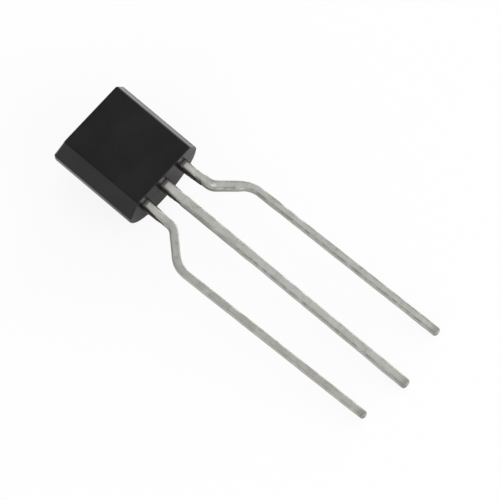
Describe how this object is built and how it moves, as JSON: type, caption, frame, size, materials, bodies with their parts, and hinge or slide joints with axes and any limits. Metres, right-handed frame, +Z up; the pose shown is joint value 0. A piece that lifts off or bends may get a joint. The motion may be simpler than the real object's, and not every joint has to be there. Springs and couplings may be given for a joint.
{
  "type": "to-92 transistor",
  "caption": "Small through-hole transistor: black moulded body with a flat front and round back, and tinned leads formed outwards.",
  "frame": {"origin": "middle of the lying part's footprint, on the surface that it lies on", "axes": "+X across the row of leads from the left lead to the right lead, seen on the flat face; +Y from the leads towards the body's head; +Z up, within about 9 degrees of the flat face's normal"},
  "size_m": [0.0058, 0.019, 0.0042],
  "materials": {
    "epoxy": "satin",
    "tinned_copper": "satin",
    "silicon": "polished",
    "die_solder": "satin",
    "gold": "polished"
  },
  "bodies": {
    "root": {"moulded_body": "epoxy", "collector_lead": "tinned_copper", "base_lead": "tinned_copper", "emitter_lead": "tinned_copper", "die": "silicon", "die_attach": "die_solder", "base_bond_wire": "gold", "emitter_bond_wire": "gold"}
  },
  "joints": []
}
